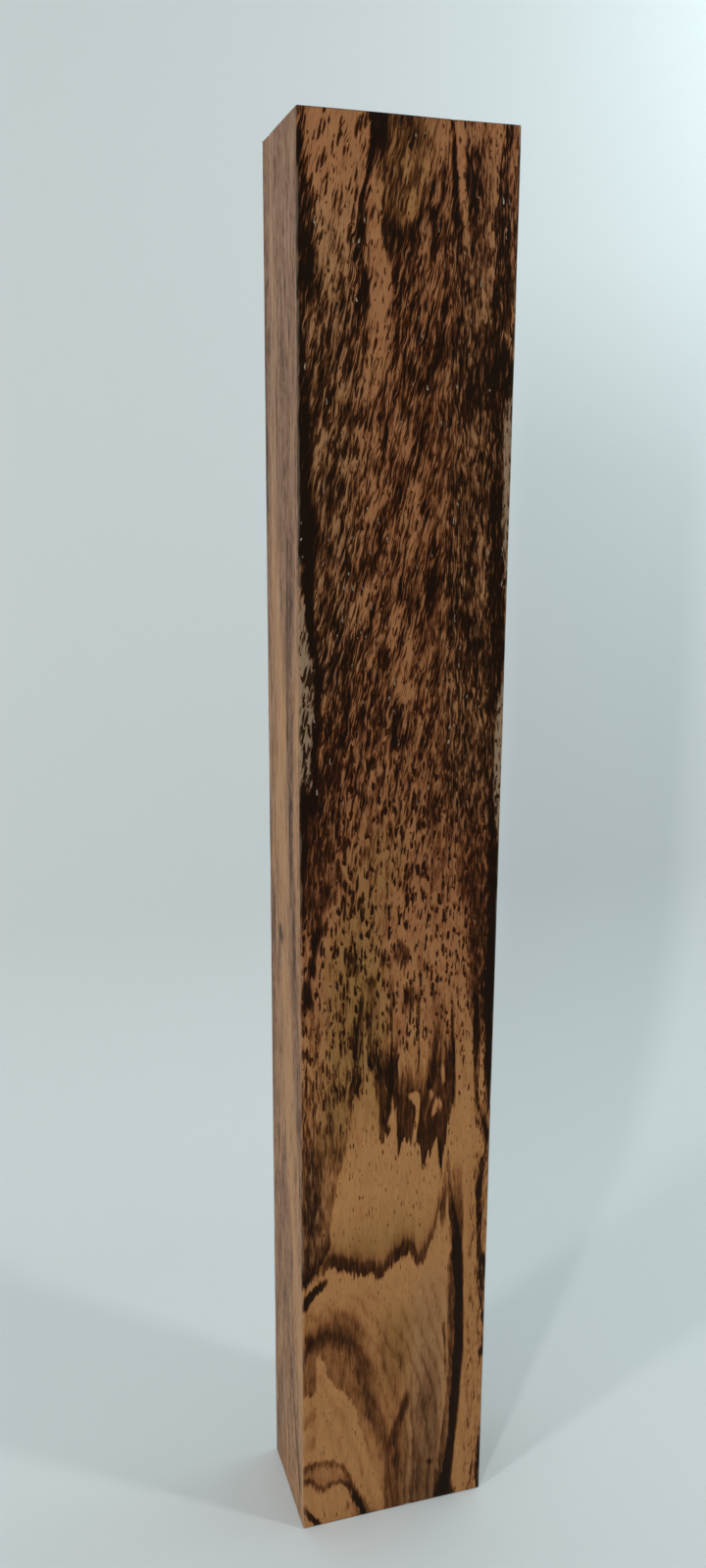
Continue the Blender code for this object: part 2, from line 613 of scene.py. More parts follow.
def streaks(marks, place, softness=0.5):
    """The summed strength of streaks. A mark is a list of (height, place, half width, strength)."""
    place = vector(place, place, place)
    strings = strung(marks)
    start = strings[0][0][0]
    while len(strings) % 3:
        strings.append([(start, 0, 1, 0), (start + 1, 0, 1, 0)])
    total = 0
    for first in range(0, len(strings), 3):
        three = strings[first:first + 3]
        middles, halves, strengths = [
            Field.node(
                "VectorCurve",
                {"Vector": three_up},
                curves=[[(point[0], point[kind]) for point in string] for string in three],
            )
            for kind in (1, 2, 3)
        ]
        off = place.vector_math("SUBTRACT", middles).vector_math("ABSOLUTE").vector_math("DIVIDE", halves)
        sockets = {6: off, 7: (1 + softness,) * 3, 8: (1 - softness,) * 3, 9: (0, 0, 0), 10: (1, 1, 1)}
        inside = Field.node(
            "MapRange", sockets, output=1, data_type="FLOAT_VECTOR", interpolation_type="SMOOTHSTEP"
        )
        total = inside.vector_math("DOT_PRODUCT", strengths, output="Value") + total
    return total


# %% The streaks of the mottled part
UPPER = [
    # black left edge, with a reddish break
    [(243, 0.8, 1.3, 0), (250, 1.0, 2.0, 1.9), (265, 1.2, 2.3, 2.1), (285, 0.8, 2.0, 1.9),
     (300, 0.6, 1.5, 1.4), (311, 1.2, 2.4, 1.9), (325, 0.9, 1.9, 1.6), (336, 0.8, 1.2, 1.2),
     (344, 1, 1.2, 0.7)],
    [(300, 3, 1, 0), (308, 4.2, 1.2, 1.2), (316, 3.8, 1.4, 1.3), (327, 3, 0.8, 0.8), (333, 2.5, 0.5, 0)],
    # tan at the top left
    [(292, 5, 3, 0), (305, 6, 3.5, -0.5), (318, 7, 4.5, -1.0), (330, 8.5, 6, -1.65), (344, 9, 6.8, -1.75)],
    # the dark slant
    [(300, 12.5, 1.2, 0), (306, 14, 1.4, 1.2), (311, 14.6, 1.1, 1.6), (314, 13.6, 0.8, 1.6),
     (320, 14.2, 0.8, 1.8), (327, 15, 0.7, 1.9), (333, 16, 0.6, 1.9), (344, 16.4, 0.5, 1.9)],
    # black patch at the head
    [(329, 17.2, 0.8, 0), (335, 17.6, 1.2, 1.2), (339, 17.8, 1.6, 1.7), (344, 17.8, 1.7, 1.8)],
    # bright column
    [(262, 13, 3, 0), (275, 15, 2.3, -0.7), (290, 16.4, 2.4, -1.2), (300, 17.8, 2.7, -1.5),
     (312, 18.5, 2.4, -1.75), (322, 17.2, 1.8, -1.7), (332, 17.6, 1, -1.2), (337, 17.6, 0.5, 0)],
    # plain olive patch at the head
    [(314, 23, 3, 0), (322, 24, 4, 0.1), (332, 23.5, 5, 0.1), (338, 23.5, 6, 0.35), (344, 23.5, 6.5, 0.6)],
    [(329, 23.7, 0.4, 0), (332, 23.9, 0.5, -1.8), (336, 24.3, 0.45, -1.8), (339, 24.4, 0.3, 0)],
    [(329.5, 28, 0.4, 0), (331.5, 28.2, 0.7, -2), (334, 28.4, 0.65, -2), (336.5, 28.4, 0.3, 0)],
    [(322, 24.9, 0.4, 0), (325, 25.3, 0.85, -2), (328, 25.8, 0.7, -2), (330.5, 26, 0.3, 0)],
    # broken dark
    [(276, 27, 3, 0), (285, 27, 3, 0.35), (296, 28, 3.5, 0.4), (305, 25, 4, 0.1), (315, 24.5, 4, 0.3),
     (322, 23, 3.6, 0.6), (328, 22, 3, 0)],
    [(270, 28, 1.2, 0), (278, 29, 1.2, 0.5), (291, 30.5, 1.3, 0.7), (297, 31.6, 1.1, 0.9),
     (303, 32.5, 0.9, 1.0), (309, 33.3, 0.7, 0.8), (315, 34, 0.5, 0)],
    [(313, 30.5, 1.2, 0), (318, 30.6, 1.2, 0.9), (324, 31, 1.4, 0.9), (328, 30.5, 1.2, 0)],
    # pale at the head
    [(333, 30.5, 3, 0), (338, 30.5, 3.6, -0.7), (344, 31, 4, -1)],
    [(318, 35.5, 1.3, 0), (322, 35.8, 1, 1), (326, 35.4, 0.7, 1.4), (334, 35, 0.5, 1.6),
     (344, 34.2, 0.5, 1.6)],
    [(312, 38, 0.4, 0), (322, 37.2, 0.5, -1.5), (330, 36.6, 0.7, -1.9), (344, 36, 0.9, -1.9)],
    [(316, 39, 1.2, 0), (322, 38.5, 1.3, 0.7), (330, 38.7, 1.6, 1.3), (336, 39.4, 2, 1.4),
     (339, 40, 2.2, 0.9), (341.5, 40, 2.4, 0)],
    [(337, 41, 4, 0), (341, 41, 4.5, -0.8), (344, 41, 4.5, -0.7)],
    [(322, 43.5, 0.6, 0), (330, 44, 0.7, -0.8), (336, 45, 1.2, -1), (341, 45.3, 1.6, -1.1),
     (344, 45.3, 1.4, -0.8)],
    # dark right
    [(272, 47, 3, 0), (283, 47.2, 3, 0.8), (290, 47.5, 3, 1.2), (300, 46.5, 2.2, 0.9), (312, 46.5, 2, 1.1),
     (325, 46.4, 1.5, 1.2), (334, 46.2, 1.1, 1.3), (344, 47.5, 1.1, 1)],
    [(298, 41.5, 1.5, 0), (306, 42, 1.8, -0.7), (314, 43.3, 1.4, -1), (321, 43.5, 1.2, -0.7),
     (326, 44, 0.8, 0)],
    [(274, 42, 3, 0), (284, 42, 4.5, 0.7), (290, 41.5, 5, 0.9), (298, 41.5, 5, 0.8), (306, 40, 4.5, 0.3),
     (326, 40, 4, 0.3), (334, 40, 3, 0)],
    # band beside the pale edge
    [(190, 4, 1.2, 0), (203, 3.6, 1.3, 1.2), (215, 3.8, 1, 1.9), (225, 4.4, 1, 2), (233, 3.2, 1, 2),
     (241, 2.4, 0.9, 2), (248, 2.2, 1.2, 1.4), (256, 3.4, 1.5, 0.7), (264, 3.6, 1, 0)],
    [(200, 9, 3, 0), (208, 9, 3.5, 0.5), (218, 9.5, 3.5, 0.6), (230, 10, 3.2, 0.7), (240, 9, 2.8, 0.6),
     (252, 8, 2.5, 0)],
    [(250, 13, 2.5, 0), (258, 15, 2.5, -0.45), (268, 16, 2.5, -0.5), (276, 17.5, 2.5, -0.3),
     (284, 18, 2, 0)],
    [(234, 12.5, 2, 0), (241, 13.5, 2.2, -0.8), (246, 16, 2.2, -0.8), (251, 17, 1.5, 0)],
    [(231, 21.6, 0.6, 0), (235, 22.3, 1.2, -1.6), (241, 23, 1.1, -1.6), (245, 23, 0.7, 0)],
    [(226, 16.6, 0.4, 0), (229, 16.9, 0.7, -1.7), (233, 17.6, 0.5, -1.7), (235.5, 17.9, 0.3, 0)],
    [(206, 20, 2, 0), (214, 24, 3, -0.4), (225, 25.5, 2.6, -0.8), (231, 26, 1.8, -0.8),
     (240, 27.2, 0.8, -0.3), (250, 28, 0.6, 0)],
    [(250, 26, 1.2, 0), (256, 26.5, 1.6, -0.8), (262, 27, 1.4, -0.9), (268, 25.8, 1.3, -1),
     (276, 25.5, 1, 0)],
    # dark column
    [(232, 30.5, 1.2, 0), (243, 31, 1.8, 0.6), (252, 31, 1.5, 0.9), (260, 30.8, 1.2, 0.7), (270, 29, 1, 0)],
    [(208, 23.4, 0.8, 0), (212, 23.4, 1.1, 1.6), (217, 23.4, 1.1, 1.6), (221, 23.4, 0.8, 0)],
    # dark right of the middle
    [(215, 42, 4, 0), (226, 42, 4.5, 0.45), (232, 41, 5, 0.7), (240, 40.5, 5, 0.7), (250, 40, 5, 0.6),
     (262, 40, 4.5, 0.45), (270, 40, 4, 0.4), (276, 41, 3, 0)],
    [(236, 43.2, 0.6, 0), (241, 43.5, 1.1, -1.2), (250, 43.6, 1.1, -1.1), (257, 43.2, 0.9, -0.9),
     (262, 44, 0.6, 0)],
    [(203, 46.5, 1.4, 0), (214, 47, 1.5, 0.7), (228, 47.5, 1.8, 1.2), (240, 47.5, 2, 1.3),
     (250, 47.5, 1.8, 1.6), (262, 46.8, 1.6, 1.6), (274, 46, 1.5, 1), (283, 46, 1.2, 0)],
    # dark left foot of the mottled part
    [(158, 2, 2.5, 0), (168, 2, 3, 0.9), (174, 3.5, 4, 1.3), (184, 4, 4.2, 1.2), (195, 4, 5, 1),
     (205, 6, 5, 0.5), (214, 7, 4, 0)],
    [(162, 0.4, 0.7, 0), (178, 0.4, 0.9, 1.2), (197, 1, 1.2, 1.7), (203, 1, 1, 1.1), (206, 0.5, 0.5, 0)],
    # separate blobs
    [(145.5, 1.5, 0.6, 0), (149, 1.8, 1.1, 2.2), (153, 1.7, 0.9, 2.2), (156.5, 1.5, 0.6, 0)],
    [(154, 2.8, 0.6, 0), (156, 3, 0.8, 1.7), (161, 3.6, 0.8, 1.7), (166, 4.5, 1.2, 1.4), (170, 5, 1, 0)],
    [(152.5, 14, 0.8, 0), (156, 13.6, 1.5, 1.6), (159, 12.6, 1.3, 1.6), (162, 12.3, 0.6, 0)],
    [(149.3, 17.5, 0.6, 0), (152, 17.5, 1.1, 1.5), (154.7, 17.6, 0.6, 0)],
    [(154.7, 20, 0.5, 0), (158, 20.2, 1.0, 1.5), (161.3, 20.4, 0.6, 0)],
    [(154.7, 25.3, 1, 0), (158, 25.5, 1.8, 1.6), (161, 24.7, 0.9, 1.4), (163.5, 24.5, 0.4, 0)],
    [(142.5, 27.3, 1.2, 0), (146, 27.4, 1.9, 1.65), (149.5, 27.8, 1.5, 1.65), (152.5, 28.8, 0.5, 0)],
    # dark right foot of the mottled part
    [(124, 48, 2, 0), (132, 47.2, 2.4, 1.0), (142, 47.2, 3.2, 1.6), (155, 46.8, 4, 1.6),
     (168, 46, 4.2, 1.5), (176, 44, 5.5, 1.3), (185, 44.5, 5, 1.1), (195, 43.5, 5.5, 0.8),
     (207, 43, 5, 0.35), (222, 43, 4, 0)],
    [(104, 49.2, 0.9, 0), (112, 49, 1.2, 1.6), (130, 48.9, 1.5, 2.6), (150, 49, 1.5, 2.4),
     (170, 49, 1.4, 2), (185, 48.4, 1.2, 1.5), (200, 47.3, 1.2, 0.8), (212, 46.5, 1.2, 0)],
    [(158, 34, 3, 0), (170, 34, 3, 0.3), (184, 34, 3.4, 0.6), (196, 35, 3.6, 0.5), (206, 35, 3.6, 0.3),
     (216, 35, 3, 0)],
]

# %% [markdown]
# ## The figure near the foot
#
# Below the mottled part lies plain tan wood, and the black comes in shapes with an edge: hanging teeth, a
# ragged band, an arc that bends over like a cathedral window, and one long stripe. The long shapes are
# streaks again.

# %% The streaks near the foot
LOWER = [
    # the long black stripe and the brown one beside it
    [(0, 41, 1.8, 2.4), (4, 40, 1.6, 2.4), (10, 40.6, 1.2, 2.4), (18, 41.4, 1.1, 2.4), (28, 41.9, 1.2, 2.4),
     (40, 42.5, 1.2, 2.5), (50, 42.9, 1.0, 2.5), (60, 42.6, 1.0, 2.5), (75, 41.6, 1.4, 2.4),
     (84, 40.1, 0.9, 2.0),
     (92, 39.3, 0.6, 1.4), (100, 38.8, 0.4, 1.0), (106, 38.5, 0.3, 0)],
    [(0, 38.5, 1.8, 1.5), (12, 39, 1.2, 1.0), (25, 39.9, 1.1, 1.1), (40, 40.8, 1.2, 1.3),
     (55, 41, 1.2, 1.5), (70, 40.6, 1.3, 1.6), (80, 42, 1.1, 1.7), (88, 41.4, 1.4, 1.4),
     (96, 41.1, 1.4, 0.9), (106, 41.4, 1, 0)],
    [(80, 37.6, 0.4, 0), (86, 37.6, 0.7, 1.5), (92, 37.8, 0.7, 1.4), (98, 38, 0.4, 0.8),
     (104, 38.4, 0.3, 0)],
    # dark foot of the arc, V, olive gap and purple-brown
    [(0, 25.2, 2, 0.5), (8, 25, 1.7, 0.3), (16, 24.8, 1.3, 0.25), (24, 24, 1, 0)],
    [(16, 24, 0.6, 0), (21, 24.6, 1.2, 0.5), (27, 26.4, 1.2, 0.7), (31, 27.7, 1.2, 0.95),
     (34, 28.1, 0.9, 0.8), (37, 28.2, 0.4, 0)],
    [(0, 34, 4.7, 1.18), (10, 34, 4.4, 1.14), (20, 34.2, 4, 1.05), (30, 34.6, 3.6, 0.85),
     (40, 34.8, 3.2, 0.4), (60, 35, 3, 0.12), (74, 35, 3, 0)],
    [(0, 27, 2.3, 0.8), (12, 27, 2.1, 0.75), (24, 27, 2.1, 0.6), (34, 27, 1.5, 0)],
    [(10.8, 34.8, 0.5, 0), (12.2, 34.9, 0.9, 1), (13.6, 34.6, 0.4, 0)],
    [(22, 30, 4, 0), (32, 30, 6, 0.5), (42, 31, 6.5, 0.42), (54, 33, 6, 0.3), (66, 35, 5, 0.25),
     (80, 36, 4, 0)],
    [(34, 24, 2, 0), (44, 24, 3, 0.5), (54, 25, 4, 0.4), (64, 26, 4, 0.15), (72, 28, 3, 0)],
    [(30, 38.6, 0.3, 0), (42, 38.9, 0.35, 0.9), (52, 38.9, 0.4, 1.2), (58, 38.8, 0.3, 0)],
    [(0, 30.4, 0.5, 0.5), (20, 30.6, 0.5, 0.45), (34, 29.6, 0.4, 0.4), (50, 29, 0.3, 0)],
    # right edge
    [(53, 49.6, 0.4, 0), (61, 49, 0.9, 1.6), (70, 48.9, 1.3, 2), (76, 47.6, 0.8, 1.6), (84, 47.6, 0.8, 2),
     (92, 47.3, 0.9, 2.1), (98, 47.9, 1.1, 2), (103, 49.2, 0.6, 1.6), (107, 48.6, 0.9, 1.4),
     (111, 47, 1.2, 1.4), (116, 46.2, 1, 1.5), (128, 45.6, 0.7, 1.6), (142, 45.2, 0.7, 1),
     (150, 45, 0.6, 0)],
    [(40, 49.7, 0.4, 0), (43, 49.6, 0.7, 1.8), (47, 49.7, 0.5, 1), (50, 49.8, 0.3, 0.2),
     (54, 49.5, 0.6, 1.8), (58, 49.7, 0.3, 0)],
    [(0, 49.5, 0.8, 1.9), (6, 49.3, 1.1, 1.9), (13, 49.4, 0.8, 1.7), (20, 49.8, 0.4, 0)],
    [(0, 46.4, 0.3, 1.2), (7, 47.3, 0.35, 1.1), (12, 47.8, 0.3, 0)],
    # dark tongue at the left and dark corner at the foot
    [(64.3, 0.9, 0.5, 0), (66, 0.9, 0.8, 2.2), (68.5, 1.8, 1.2, 2.3), (70.5, 3.6, 1.8, 2.3),
     (72.3, 5.2, 1.2, 2.2), (74.5, 6, 0.5, 0)],
    [(0, 4.4, 0.8, 1.6), (2.5, 2.6, 1.1, 2), (5, 1.0, 0.8, 1.9), (8.5, 0.5, 0.5, 0)],
    [(0, 17.0, 2.8, 1.2), (3, 15.8, 2.0, 1.05), (7, 14.6, 1.2, 0.9), (11, 13.8, 0.6, 0)],
    [(1.5, 12.2, 0.4, 0), (4, 12.4, 0.6, 1.2), (6.5, 12.8, 0.4, 0)],
    # brown of the left zone, darkest at the edge
    [(73, 1, 2, 0), (82, 2, 2.6, 0.25), (92, 2.2, 3, 0.4), (104, 2.4, 2.8, 0.4), (116, 2, 2.4, 0)],
    # pale places among the teeth
    [(104, 29.2, 0.4, 0), (107, 29.2, 0.55, -2.4), (112, 29.5, 0.45, -2.4), (117, 29.8, 0.55, -2.4),
     (118.6, 29.5, 0.9, -2.6), (120.6, 29, 1.4, -2.6), (122, 28.7, 1.3, 0)],
    [(112, 22.9, 0.5, 0), (114, 23.1, 0.5, -1.8), (118, 23.7, 0.4, -2), (122, 23.4, 0.2, -1.6),
     (124, 23.4, 0.1, 0)],
    [(121, 16.9, 1.3, 0), (124, 17.1, 1.1, -2), (128, 16.9, 0.8, -2.1), (131, 16.4, 0.45, -2.2),
     (137, 16.3, 0.3, -2.2), (142, 16.3, 0.2, 0)],
    [(118.5, 33.4, 0.4, 0), (120.5, 33.6, 0.5, -1.7), (122.5, 33.2, 0.2, 0)],
    [(113, 34.1, 0.3, 0), (115, 34.5, 0.6, -2), (118, 35.1, 0.65, -2), (120.5, 35.4, 0.3, 0)],
    [(114.5, 36.1, 0.3, 0), (117, 36.2, 0.35, -1.7), (120, 36, 0.2, 0)],
    [(122, 37, 0.3, 0), (125, 36.8, 0.6, -1.5), (128.5, 36.2, 0.3, 0)],
    [(115, 47.4, 0.5, 0), (119, 47.2, 0.6, -1.9), (124, 47.1, 0.6, -1.5), (134, 47.5, 0.5, -1.3),
     (140, 47.8, 0.4, 0)],
    [(112, 31.8, 0.4, 0), (114, 32, 0.4, -0.5), (124, 34.8, 0.5, -0.5), (132, 35.4, 0.4, -0.9),
     (136, 35.5, 0.3, 0)],
    # dark lines that rise from the teeth
    [(112, 19, 0.6, 0), (119, 19.8, 0.8, 0.4), (126, 18.6, 0.9, 0.6), (133, 17.6, 0.7, 0.6),
     (141, 17.2, 0.5, 0.3), (146, 17, 0.4, 0)],
    [(116, 23, 0.4, 0), (124, 23, 0.6, 1.5), (132, 22.7, 0.35, 1.5), (142, 22.6, 0.4, 1.2),
     (149, 22.4, 0.7, 1.1), (153, 22.4, 0.4, 0)],
    [(124, 29.8, 0.6, 0), (129, 29.9, 0.35, 1.3), (138, 29.8, 0.3, 1.4), (146, 29.9, 0.5, 1),
     (150, 30, 0.4, 0)],
    [(123, 15, 1, 0), (127, 14.6, 1, 0.2), (135, 14.3, 0.9, 0.2), (142, 14.7, 0.7, 0.6),
     (149, 15.6, 0.4, 0.9), (156, 15.8, 0.3, 0)],
    [(112, 39.4, 0.4, 0), (118, 39.6, 0.45, 1.2), (128, 39.5, 0.4, 1.3), (138, 38.8, 0.4, 1.2),
     (150, 38.5, 0.4, 0)],
    [(122, 35, 2, 0), (130, 35.2, 2, 0.5), (138, 35.2, 1.6, 0.8), (146, 35, 1.5, 0.5), (152, 35, 1, 0)],
    # reddish flecks on the right strip
    [(0, 47, 3, 0.3), (60, 47, 3, 0.35), (95, 46.5, 3, 0.45), (112, 46.5, 2.6, 0)],
    [(94, 37, 0.3, 0), (99, 36.8, 0.35, 1.4), (105, 36.4, 0.4, 1.6), (109, 36, 0.4, 0)],
]
PALE_EDGES = [
    [(199, 0.8, 1.8, 0), (203, 1, 1.8, 1), (220, 1.2, 2.1, 1), (229, 1.3, 2.3, 1), (232, 0.9, 1.8, 1),
     (240, 0.4, 1.3, 1), (246, 0.2, 0.6, 0)],
    [(180, 49.8, 0.2, 0), (188, 49.4, 0.5, 1), (205, 48.9, 1, 1), (215, 48.9, 1.1, 1), (226, 49.5, 0.5, 1),
     (232, 49.8, 0.3, 0)],
    [(236, 49.9, 0.3, 0), (248, 49.7, 0.5, 1), (256, 49.3, 0.9, 1), (262, 49, 1.2, 1), (275, 49.1, 1.1, 1),
     (284, 49.1, 1, 1), (293, 49.7, 0.4, 0)],
]

print("streaks:", len(UPPER), "in the mottled part and", len(LOWER), "near the foot")

# %% [markdown]
# Everything adds up to one number, the level, which says how dark the wood tends to be. It starts from a
# curve over the height, because the mottled part is darker than the foot, and the streaks are added to it.
# The pale, greyer strips along the edges are taken away from it.

# %% The level of the wide face
BASE = [(0, -1.2), (118, -1.2), (130, -1.0), (145, -0.95), (165, -0.95), (185, -0.7), (205, -0.02),
        (225, 0.24), (300, 0.22), (325, 0.08), (344, -0.15)]
PALE_EDGE_LEVEL = 1.7

level = curve_of(up, BASE)
level = streaks(UPPER, shaken_across) + level
level = streaks(LOWER, across + waver * 0.2 + mottles * 0.08) + level
pale_edge = streaks(PALE_EDGES, shaken_across, 0.2)
level = level - pale_edge * PALE_EDGE_LEVEL

# %% [markdown]
# Curves drawn from left to right make the shapes that lie across the grain. The tan wood ends above in a
# line of teeth, and the black over it fades upward, quickly in the middle and slowly at the sides. The left
# zone is speckled brown up to a slanting edge.

# %% Hang the teeth
TEETH = [(12.6, 118), (13.3, 121.5), (13.8, 124), (14.6, 122.8), (16, 122.5), (17, 124), (18.4, 124),
         (19.6, 123), (19.9, 114), (20.3, 109), (20.8, 108), (21.6, 110.5), (22.7, 112), (23.2, 114),
         (24, 117), (24.8, 111), (25.1, 106), (26, 108), (27.4, 109), (28.4, 107.5), (29.4, 106),
         (30.4, 106), (31, 104), (31.9, 101), (32.6, 103.5), (33.6, 104), (34.5, 107), (35.2, 107),
         (36, 104), (36.7, 99), (37.2, 105.5), (37.9, 106.5), (38, 111), (39, 114.5), (39.8, 117.5)]
TEETH_REACH = [(13, 25), (16, 27), (20, 29), (22, 27), (23.2, 23), (24, 21), (26, 21), (29, 22), (32, 27),
               (34, 32), (37, 31), (39.6, 20)]
TEETH_TONE = [(12.6, 0), (13.2, 1.0), (16, 0.9), (19.4, 1.0), (20.4, 1.75), (22, 1.95), (38.5, 1.9),
              (39.4, 1.6), (39.9, 0)]
LEFT_ZONE = [(70, -0.5), (71, 0), (74.5, 3), (77, 5), (80, 6.3), (84, 7.6), (89, 7.6), (95, 8.4), (103, 10),
             (108, 11.4), (115, 12.6), (124, 13.6), (134, 15), (150, 16)]
LEFT_ZONE_TONE = [(69, 1.5), (76, 1.25), (90, 1.1), (104, 1.05), (116, 0.8), (128, 0.5), (140, 0.3),
                  (165, 0)]

above_teeth = shaken_up - curve_of(across + fibres * 0.05, TEETH)
hanging = between(above_teeth, -0.35, 0.4) * between(above_teeth / curve_of(across, TEETH_REACH), 1.1, 0.6)
in_left_zone = between(across + mottles * 0.2 - curve_of(up + fray * 0.5, LEFT_ZONE), 0.35, -0.35)
level = level + hanging * curve_of(across, TEETH_TONE) + in_left_zone * curve_of(up, LEFT_ZONE_TONE)

# %% [markdown]
# The ragged band has a sharp lower edge and fades upward.

# %% Lay the ragged band
BAND = [(0, 71.8), (3, 73.4), (5, 75.0), (6.2, 76), (8, 76.6), (10, 75.6), (13, 74.2), (16, 73.2),
        (18, 73.6), (20, 71.4), (22, 72.3), (24, 74.8), (26, 76.2), (28, 77.2), (29.6, 76.2), (30.6, 73.4),
        (32, 73.8), (34, 78.5), (35.5, 82), (36.2, 88)]
BAND_TONE = [(0, 0.75), (4.2, 0.85), (6, 1.6), (8, 2.0), (20, 2.05), (28, 2.0), (31, 1.8), (34, 1.5),
             (36.5, 1.2), (37.4, 0)]
BAND_EDGE = (-1.3, 0.2)

over_band = up + fray * 0.45 + mottles * 0.35 - curve_of(across, BAND)
band = between(over_band, 4.6, 2.2) * 0.45 + between(over_band, 8, 3) * 0.3 + between(over_band, 14, 5) * 0.18
band = band * between(over_band, BAND_EDGE[0], BAND_EDGE[1])
level = level + band * curve_of(across, BAND_TONE)

# %% [markdown]
# The arc is drawn in turns about a point at the foot. Heights are squashed there, which turns the tall arc
# into a nearly round one, so one curve over the turning angle gives its radius. Two rings lie at the foot,
# and faint growth lines follow the same turns, as a sine of the radius.

# %% Bend the arc
ARC = [(0, 20), (0.117, 20.6), (0.225, 21.5), (0.33, 22.2), (0.431, 22), (0.544, 21.6), (0.645, 21.3),
       (0.733, 21.3), (0.801, 22), (0.924, 23.7), (1.021, 24.8), (1.125, 25.4), (1.251, 25.4), (1.41, 24.8),
       (1.53, 24.1), (1.657, 23.2), (1.731, 21.8)]
ARC_HALF = [(0, 1.6), (0.3, 2.5), (0.65, 2.9), (0.9, 3.5), (1.15, 2.9), (1.5, 2.1), (1.73, 1.5)]
ARC_TONE = [(0, 0.85), (0.2, 0.9), (0.4, 1.0), (0.6, 1.0), (0.9, 0.95), (1.2, 1.05), (1.73, 1.2)]
ARC_FOOT = [(0, 18.5), (0.089, 18.1), (0.215, 16.9), (0.381, 16.2), (0.535, 15.7), (0.695, 15.6),
            (0.812, 16), (0.922, 16.6), (1.081, 17), (1.212, 17.1), (1.34, 17.5), (1.449, 18.9),
            (1.5, 20.2), (1.537, 20.6), (1.575, 19), (1.6, 16.8), (1.664, 16.1), (1.82, 16.3)]
ARC_FOOT_TONE = [(0, 0.45), (0.5, 0.55), (0.8, 0.78), (1, 1.0), (1.82, 1.0)]
OUTER_RING = [(0, 13), (0.133, 12.1), (0.33, 11.1), (0.524, 10.4), (0.771, 9.8), (1.086, 8.6), (1.571, 7.8),
              (1.95, 8.2)]
INNER_RING = [(0, 12.6), (0.3, 10.2), (0.437, 9.6), (0.601, 8.3), (0.876, 6.2), (1.1, 5.0), (1.347, 4.5),
              (1.76, 5.4), (2.1, 6.6)]
ARC_CENTRE = 4
ARC_SQUASH = 0.4
GROWTH_PITCH = 2.5
ARC_ENDS_ABOVE = (66, 71)

swing_across = across + waver * 0.25 + mottles * 0.12 - ARC_CENTRE
swing_up = (up + fray * 0.25 + mottles * 0.15) * ARC_SQUASH
turn = swing_up.math("ARCTAN2", swing_across)
radius = vector(swing_across, swing_up, 0.0).vector_math("LENGTH", output="Value")

past_arc = (radius - curve_of(turn, ARC)) / curve_of(turn, ARC_HALF)
arc = between(past_arc, 0.8, -0.2) * 0.62 + between(past_arc, 2.8, 0.2) * 0.38
arc = arc * between(past_arc, -1.7, -0.6)
under_arc = between(radius - curve_of(turn, ARC_FOOT), -0.15, 0.25) * between(past_arc, 0.2, -1.2)
past_ring = radius - curve_of(turn, OUTER_RING)
past_inner = radius - curve_of(turn, INNER_RING)
rings = between(past_ring, 0.5, 0) * between(past_inner, -0.5, 0.1) * 0.6
rings = rings + between(abs(past_ring + 0.3), 0.7, 0.1) * 0.5 + between(abs(past_inner), 0.9, 0.15) * 0.8
under = radius - curve_of(turn, ARC_FOOT) + waver * 0.3
rings = rings + between(abs(under + 2.6), 1.2, 0.2) * 0.45 + between(abs(under + 5.4), 1.4, 0.2) * 0.32
growth = ((radius + waver * 0.4 + long_lines * 0.1) * GROWTH_PITCH).math("SINE")
rings = rings + between(growth, -0.1, 1.0) * (between(past_arc, -1.5, 0) * 0.2 + 0.1) - 0.05
arcs = arc * curve_of(turn, ARC_TONE) + under_arc * curve_of(turn, ARC_FOOT_TONE) + rings
level = level + arcs * between(up, ARC_ENDS_ABOVE[1], ARC_ENDS_ABOVE[0])

# %% [markdown]
# Noise then decides where the wood is dark: broad patches, drawn-out mottles and fine fibres are added to the
# level. Near the foot the noise is held back, so that shapes keep their edges.

# %% Say how much noise there is
NOISE_SHARE = [(0, 0.24), (100, 0.26), (125, 0.42), (150, 0.5), (180, 0.62), (200, 0.95), (344, 1.05)]
OLIVE_PATCH = [[(314, 22, 3, 0), (322, 23, 4, 0.5), (332, 23.5, 5, 0.75), (344, 24, 6, 0.75)]]
noise_share = larger(curve_of(up, NOISE_SHARE), in_left_zone * 0.46)
noise_share = larger(noise_share, hanging * between(across, 22, 19) * 0.8)
noise_share = larger(noise_share, between(across, 43.6, 46.0) * 0.75)
olive_patch = streaks(OLIVE_PATCH, shaken_across)
noise_share = noise_share * (1 - olive_patch * 0.5)
print("the noise counts", NOISE_SHARE[0][1], "at the foot and", NOISE_SHARE[-1][1], "at the head")

# %% [markdown]
# The narrow face shows the same wood from its side: bands that run up the blank and drift towards the back.
# Inside, growth layers bow round the heart of the tree, and the back, the right face and the ends cut through
# them.

